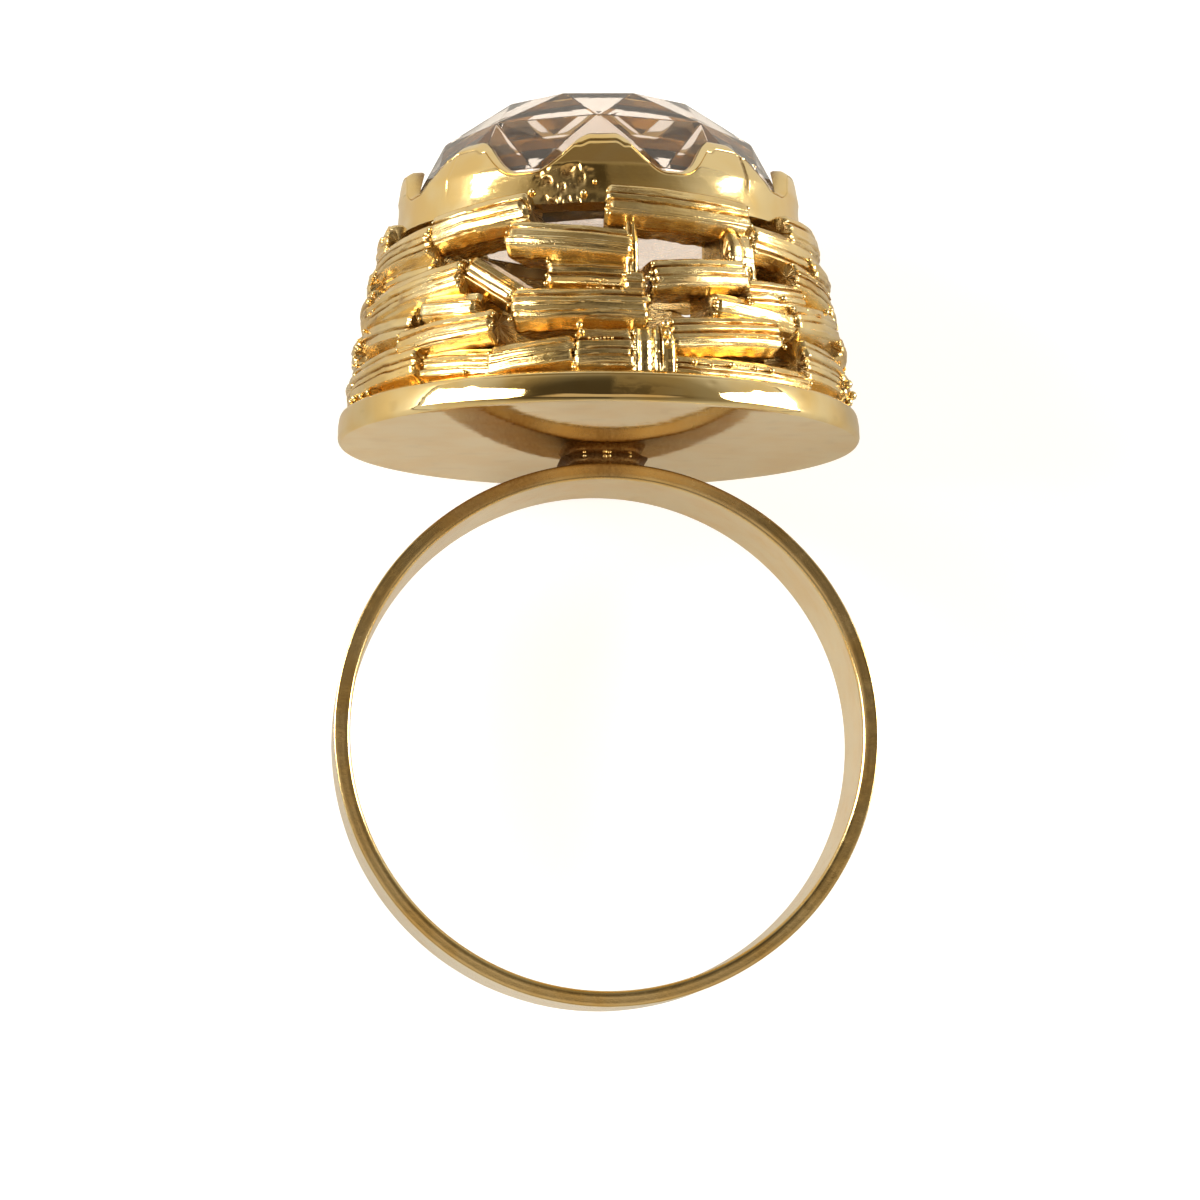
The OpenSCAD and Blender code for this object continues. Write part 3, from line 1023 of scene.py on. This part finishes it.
class Gallery:
    """The courses of staves between the collar and the bezel."""

    # Least gap in millimetres between a bead and the floor
    CLEAR = 0.02
    # Lowest and highest middle of a course's staves
    COURSES = {"course_top": (6.0, 9.0), "course_upper": (4.9, 6.0), "course_middle": (3.75, 4.9),
               "course_lower": (2.3, 3.75), "course_foot": (0.0, 2.3)}
    # Columns: azimuth, height, radius from the head's axis, size
    LUMPS = np.array([
        (-4.5, 2.55, 8.36, 0.13), (-4.0, 2.32, 8.40, 0.12), (14.5, 2.62, 8.45, 0.15), (14.8, 2.30, 8.52, 0.13),
        (15.2, 1.98, 8.60, 0.16), (-74.0, 1.12, 8.63, 0.10), (-70.5, 1.15, 8.66, 0.12), (-66.5, 1.12, 8.63, 0.09),
        (-62.0, 1.14, 8.65, 0.11), (-31.0, 1.20, 8.50, 0.10), (21.0, 1.40, 8.55, 0.10), (25.0, 1.34, 8.55, 0.09),
        (30.0, 1.42, 8.56, 0.11), (36.5, 1.36, 8.55, 0.09), (41.0, 1.40, 8.56, 0.10), (76.0, 1.75, 8.62, 0.17),
        (79.5, 1.45, 8.68, 0.17), (77.0, 1.18, 8.62, 0.14), (-18.5, 7.32, 6.98, 0.11), (-4.2, 7.20, 7.00, 0.12),
        (-1.2, 7.60, 6.92, 0.08), (48.0, 4.00, 8.16, 0.12), (51.0, 3.72, 8.20, 0.10), (66.0, 3.95, 8.30, 0.12)])

    def build(self, finish: GoldFinish) -> list[Piece]:
        """Builds one piece for each course.

        Args:
            finish: Bark-like gold.

        Returns:
            The pieces, from the top course down.
        """
        material = finish.material()
        staves = [Stave(row, turn, 100 + 37 * k + int(turn)) for turn in (0.0, 180.0)
                  for k, row in enumerate(HALF_TURN)]
        staves += [Stave(row, 0.0, 900 + k) for k, row in enumerate(FEET)]
        pieces = []
        for name, (low, high) in self.COURSES.items():
            shell = Shell(name)
            for stave in staves:
                if low <= stave.row.middle < high:
                    rings, stain, bark = stave.surface()
                    shell.loft(rings, stain, bark)
                    centres, radii = stave.drops()
                    clear = POSE.row(centres)[:, 2] * 1000 - radii > self.CLEAR
                    shell.beads(centres[clear], radii[clear])
            azimuth, height, radius, size = self.LUMPS[(self.LUMPS[:, 1] >= low) & (self.LUMPS[:, 1] < high)].T
            shell.beads(POSE.head(azimuth, radius, height), size, 0.04)
            pieces.append(shell.build(material))
        return pieces


@dataclass
class Bezel:
    """Scalloped collet whose rounded leaves lean over the stone.

    Attributes:
        leaves: Azimuths of the nine leaves.
        tip: Height of the leaf tips.
        valley: Height of the edge between leaves.
        foot: Height of the underside.
    """

    leaves: tuple[float, ...] = (-84, -44.5, 1.6, 41.5, 82, 121, 159, 199, 237)
    tip: float = 9.5
    valley: float = 8.15
    foot: float = 6.9
    # Height and radius up the outside and the inside of the wall
    OUTER = np.array([(6.9, 6.97), (7.7, 6.87), (8.25, 6.82), (9.5, 6.164)])
    INNER = np.array([(7.609, 6.42), (8.25, 6.42), (9.5, 5.764)])
    # Distance back from the wall, drop under the edge in shares of the lip's height, and stain and painted shade (the
    # first three rows paint a shadow line under the lip)
    LIP = ((0.015, 0.34, 0.25), (0.035, 0.31, 0.55), (0.02, 0.285, 0.3), (0.005, 0.26, 0.02), (0.06, 0.18, 0.0),
           (0.13, 0.09, 0.0), (0.20, 0.03, 0.0), (0.29, 0.0, 0.05), (0.385, 0.05, 0.2))
    # Radius and height round the bearing and the underside
    BEARING = ((6.05, 7.472), (5.67, 7.335), (5.67, 7.1), (5.67, 6.9), (6.1, 6.9), (6.6, 6.9))
    # Rows up the wall, and rows in front of the lip's crest
    WALL_ROWS, FRONT_ROWS = 20, 27
    # Mean radius of the edge, and azimuths of the ears, the crack, the scratch and the burnt patch
    RIM = 6.43
    EARS, CRACK, SCRATCH, BURN = 84.0, 46.5, -47.5, -10.0

    def ears(self, azimuths: Array) -> Array:
        """Share from 0 to 1 of the two leaves that stand off the stone, left and right."""
        return bell((np.abs(azimuths) - self.EARS) / 13.0)

    def edge(self, azimuths: Array) -> Array:
        """Height of the bezel's edge.

        From the middle of a scoop to the middle of a leaf the share of the height goes from 0 to 1 by a smoothstep
        that leaves a rounded valley, a flank of about 45 degrees and a flat tip.

        Args:
            azimuths: Degrees, growing, one turn.

        Returns:
            Height at each azimuth.
        """
        ring = np.array([self.leaves[-1] - 360, *self.leaves, self.leaves[0] + 360])
        wrapped = (azimuths - ring[0]) % 360.0 + ring[0]
        k = np.clip(np.searchsorted(ring, wrapped, side="right") - 1, 0, len(ring) - 2)
        middle = (ring[k] + ring[k + 1]) / 2
        share = np.abs(wrapped - middle) / ((ring[k + 1] - ring[k]) / 2)
        return self.valley + (self.tip - self.valley) * smooth(share, 0.10, 0.84)

    def profile(self, azimuths: Array, edge: Array) -> tuple[Array, Array, Array]:
        """Closed profile at each azimuth.

        The outside rises along the CAD wall to a thin line of painted shadow under the lip, the lip is a pale worn band
        that slopes back to the stone, and the inside follows the stone's girdle down to its bearing, darkened there as
        painted shade.

        Args:
            azimuths: Degrees.
            edge: Height of the edge at each azimuth.

        Returns:
            Radius, height, and stain and painted shade as [azimuth, row].
        """
        slope = np.gradient(edge, np.radians(360.0 / len(azimuths)) * self.RIM)
        steep = np.minimum(np.sqrt(1.0 + slope ** 2), 2.2)
        lip = steep * (0.50 + 0.65 * smooth(edge, self.tip - 0.35, self.tip - 0.08))
        rows = []
        for share in np.linspace(0.0, 1.0, self.WALL_ROWS):
            z = self.foot + (edge - 0.36 * lip - self.foot) * share
            rows.append((np.interp(z, *self.OUTER.T), z, 0.05))
        # painted shadow: the first three lip rows hold a thin dark line under the lip; on the ears, rows set back from
        # the wall get more painted shade
        for back, drop, stain in self.LIP:
            z = edge - drop * lip
            rows.append((np.interp(z, *self.OUTER.T) - back, z, stain + 2.0 * back * self.ears(azimuths)))
        # painted shade: the inside of the bezel is darkened to 0.3, and the bearing under the stone to 0.6
        for share in np.linspace(0.0, 1.0, 8)[1:]:
            z = edge - 0.10 - (edge - 0.10 - self.INNER[0, 0]) * share
            rows.append((np.interp(z, *self.INNER.T), z, 0.3))
        rows += [(r, z, 0.6) for r, z in self.BEARING]
        return tuple(stack(*column, azimuths)[:, :-1] for column in zip(*rows))

    def build(self, finish: GoldFinish) -> Piece:
        """Builds the bezel with its dents, the crack beside one leaf, a scratch, the burnt patch at the front, and
        painted shade on the inner faces of the two ears.

        Args:
            finish: Polished gold.

        Returns:
            The piece.
        """
        turn = 180.0 + full_turn(1080)
        azimuths = (turn + 180.0) % 360.0 - 180.0
        edge = self.edge(turn) - 0.05 * (0.5 + 0.5 * ripple(azimuths, 41, 7.0)) - 0.22 * self.ears(azimuths)
        radius, height, stain = self.profile(azimuths, edge)
        row = np.arange(radius.shape[1])
        outside = row < self.WALL_ROWS + len(self.LIP)
        front = row < self.FRONT_ROWS
        a = azimuths[:, None]
        wall = smooth(height, 7.0, 7.4) * outside
        radius = radius - 0.045 * wall * (0.5 + 0.5 * lattice_noise(stack(a / 9.0, height / 0.8, 0.5), 43))
        crack = bell((a - self.CRACK - 1.3 * (height - 8.3)) / 0.5) * wall
        crack = crack * smooth(height, 7.7, 8.0) * smooth(9.3 - height, 0.0, 0.3)
        scratch = bell((a - self.SCRATCH) / 0.4) * wall * smooth(height, 7.5, 7.9)
        burnt = np.exp(-((a - self.BURN) / 8.0) ** 4) * smooth(8.3 - height, 0.0, 0.3) * outside
        cells = stack(a / 2.1, height / 0.24, 0.5)
        pits = smooth(lattice_noise(cells, 47) + 0.5 * lattice_noise(cells * 2.3, 48), 0.0, 0.7)
        ear = self.ears(a) * smooth(height, 7.9, 9.2)
        radius = radius - 0.06 * crack - 0.02 * scratch - burnt * (0.03 + 0.11 * pits)
        radius = radius + np.where(front, 0.34, 0.12) * ear
        # painted shade: the ears' inner faces are darkened by 0.7; the crack and the burnt patch are real marks
        stain = np.clip(stain + 0.8 * crack + burnt * (0.5 + 0.5 * pits) + 0.7 * (~front * ear), 0, 1)
        return turned("bezel", finish, POSE.head(a, radius, height), stain, unrolled(turn, radius, height), 60.0)


@dataclass
class Stone:
    """The rock crystal, which is the CAD node itself with facet edges worn to a width given in metres."""

    wear: float = 0.000035

    def build(self, node: Piece, finish: CrystalFinish) -> Piece:
        """Gives the CAD stone its finish and rounds its facet edges.

        Args:
            node: CAD node of the stone.
            finish: Clear crystal.

        Returns:
            The node.
        """
        node.data.materials.clear()
        node.data.materials.append(finish.material())
        weld = node.modifiers.new("weld", "WELD")
        weld.merge_threshold = 1e-6
        wear = node.modifiers.new("wear", "BEVEL")
        wear.width, wear.segments = self.wear, 2
        wear.limit_method = "ANGLE"
        wear.angle_limit = math.radians(8)
        return node


@dataclass(frozen=True)
class Softbox:
    """A square area light: ring-frame azimuth and elevation, distance and side in metres, power and colour."""

    name: str
    azimuth: float
    elevation: float
    distance: float
    wide: float
    high: float
    power: float
    colour: tuple[float, float, float]


class Studio:
    """Floor, lights, world and camera."""

    LIGHTS = (
        Softbox("softbox_left", -62.0, 10.0, 0.36, 0.15, 0.30, 1.55, (1.0, 0.98, 0.92)),
        Softbox("softbox_right", 76.0, 8.0, 0.36, 0.16, 0.32, 1.9, (1.0, 0.985, 0.92)),
        Softbox("softbox_stone", 165.0, 72.0, 0.40, 0.16, 0.16, 0.7, (1.0, 0.99, 0.98)),
    )
    # Colour of the surroundings from the horizon, 0, to the zenith, 1
    SKY = ((0.0, (0.72, 0.70, 0.67, 1.0)), (0.38, (0.56, 0.53, 0.48, 1.0)), (0.60, (0.27, 0.235, 0.17, 1.0)),
           (0.86, (0.19, 0.155, 0.10, 1.0)), (0.975, (0.18, 0.14, 0.085, 1.0)))
    # Fitted camera: pitch, yaw and roll, the ring frame's origin right of, above and ahead of it, and the lens
    TURNS = (7.46, 4.79, -0.11)
    ORIGIN = (0.37, -4.35, 142.8)
    LENS = 127.02

    def floor(self, height: float, finish: FloorFinish) -> Piece:
        """Builds the table top as a grid of eight by eight faces at the given height and marks it as stage.

        Args:
            height: Height in metres.
            finish: Its matt surface.

        Returns:
            The floor.
        """
        mesh = bpy.data.meshes.new("floor")
        side = np.linspace(-0.9, 0.9, 9)
        points = stack(*np.meshgrid(side, side, indexing="ij"), height).reshape(-1, 3)
        first = (np.arange(8)[:, None] * 9 + np.arange(8)).reshape(-1, 1)
        mesh.from_pydata(points.tolist(), [], (first + [0, 9, 10, 1]).tolist())
        mesh.materials.append(finish.material())
        floor = linked("floor", mesh)
        floor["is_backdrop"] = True
        return floor

    def lights(self) -> None:
        """Adds the softboxes, aimed at the head and hidden from the camera."""
        target = POSE.row(np.array([0.0, 0.0, 12.0]))
        for box in self.LIGHTS:
            a, e = math.radians(box.azimuth), math.radians(box.elevation)
            away = POSE.matrix() @ [math.sin(a) * math.cos(e), -math.cos(a) * math.cos(e), math.sin(e)]
            data = bpy.data.lights.new(box.name, "AREA")
            data.shape = "RECTANGLE"
            data.size, data.size_y = box.wide, box.high
            data.energy, data.color = box.power, box.colour
            lamp = linked(box.name, data)
            lamp.location = Vector(target + away * box.distance)
            lamp.rotation_euler = Vector(-away).to_track_quat("-Z", "Y").to_euler()
            lamp.visible_camera = False

    def world(self) -> None:
        """Surroundings: bright near the horizon, dim overhead and on the stone's side.

        Overhead they have dark blotches and a dark patch on the left, as a room has, and on the band's side a light
        patch that the lower half of the band's face mirrors.
        """
        world = bpy.data.worlds.new("surroundings")
        bpy.context.scene.world = world
        world.use_nodes = True
        net = Net(world.node_tree)
        way = net.add("TexCoord").outputs["Generated"]
        side, along, up = net.add("SeparateXYZ", {0: way}).outputs
        ramp = net.add("ValToRGB", {0: up})
        elements = ramp.color_ramp.elements
        while len(elements) < len(self.SKY):
            elements.new(0.5)
        for element, (place, colour) in zip(elements, self.SKY):
            element.position, element.color = place, colour
        blotch = net.spread(net.noise(way, 4.5), 0.44, 0.56)
        blotch = net.product(blotch, net.spread(up, 0.70, 0.92), 0.6)
        left = net.product(net.spread(side, 0.07, 0.0), net.spread(side, -0.75, -0.5), net.spread(up, 0.55, 0.80), 0.8)
        low = net.spread(net.math("MULTIPLY_ADD", side, 0.3, along), 0.28, 0.225)
        sky = ramp.outputs[0]
        for share, colour in ((net.spread(along, 0.72, 0.93), (0.20, 0.165, 0.12, 1.0)),
                              (net.math("MAXIMUM", blotch, left), (0.03, 0.022, 0.010, 1.0)),
                              (net.product(low, net.spread(up, 0.82, 0.93)), (0.55, 0.45, 0.33, 1.0))):
            sky = net.mix(share, sky, colour)
        net.feed(world.node_tree.nodes["Background"].inputs, {0: sky, 1: 1.0})

    def camera(self) -> Piece:
        """Makes the camera that was fitted to the photograph.

        The ring-frame view direction is turned by yaw and pitch, the sensor by roll, and the camera stands at the
        fitted distance.

        Returns:
            The camera.
        """
        pitch, yaw, roll = (math.radians(v) for v in self.TURNS)
        ahead = np.array([math.sin(yaw) * math.cos(pitch), math.cos(yaw) * math.cos(pitch), math.sin(pitch)])
        right = np.cross(ahead, [0.0, 0.0, 1.0])
        right /= np.linalg.norm(right)
        up = np.cross(right, ahead)
        across = right * math.cos(roll) + up * math.sin(roll)
        above = up * math.cos(roll) - right * math.sin(roll)
        data = bpy.data.cameras.new("camera")
        data.lens, data.sensor_width = self.LENS, 36.0
        data.clip_start, data.clip_end = 0.01, 10.0
        camera = linked("camera", data)
        matrix = np.eye(4)
        matrix[:3, :3] = POSE.matrix() @ np.stack([across, above, -ahead], axis=1)
        matrix[:3, 3] = POSE.row(-(across * self.ORIGIN[0] + above * self.ORIGIN[1] + ahead * self.ORIGIN[2]))
        camera.matrix_world = Matrix(matrix.tolist())
        bpy.context.scene.camera = camera
        return camera

    def build(self, floor_at: float) -> None:
        """Sets up the whole studio and the plain view transform.

        Args:
            floor_at: Height of the floor in metres.
        """
        self.floor(floor_at, FloorFinish())
        self.lights()
        self.world()
        self.camera()
        bpy.context.scene.view_settings.view_transform = "Standard"


def corners(box: tuple[Vector, Vector]) -> list[list[float]]:
    """Two corners as plain lists."""
    return [list(box[0]), list(box[1])]


def main() -> None:
    """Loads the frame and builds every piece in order."""
    logging.basicConfig(level=logging.INFO, format="%(name)s: %(message)s")
    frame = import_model()
    cad_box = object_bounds()
    bark = GoldFinish(Lustre.BARK, 0.10, 0.010)
    polished = GoldFinish(Lustre.POLISHED, 0.09, 0.012)
    mirror = GoldFinish(Lustre.MIRROR, 0.035, 0.004)
    worn = GoldFinish(Lustre.WORN, 0.13, 0.006)
    soldered = GoldFinish(Lustre.SOLDERED, 0.30, 0.03, 0.9)
    pieces = [Shank().build(worn), SolderSeat().build(soldered), BasePlate().build(mirror)]
    pieces += Gallery().build(bark)
    pieces.append(Bezel().build(polished))
    for piece in pieces:
        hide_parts("mounting")
    Stone().build(frame["nodes"]["crystal"], CrystalFinish())
    Studio().build(cad_box[0].z)
    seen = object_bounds()
    {"cad": corners(cad_box), "visual": corners(seen)}
    log.info("CAD box %s", corners(cad_box))
    log.info("visual box %s", corners(seen))


if __name__ == "__main__":
    main()
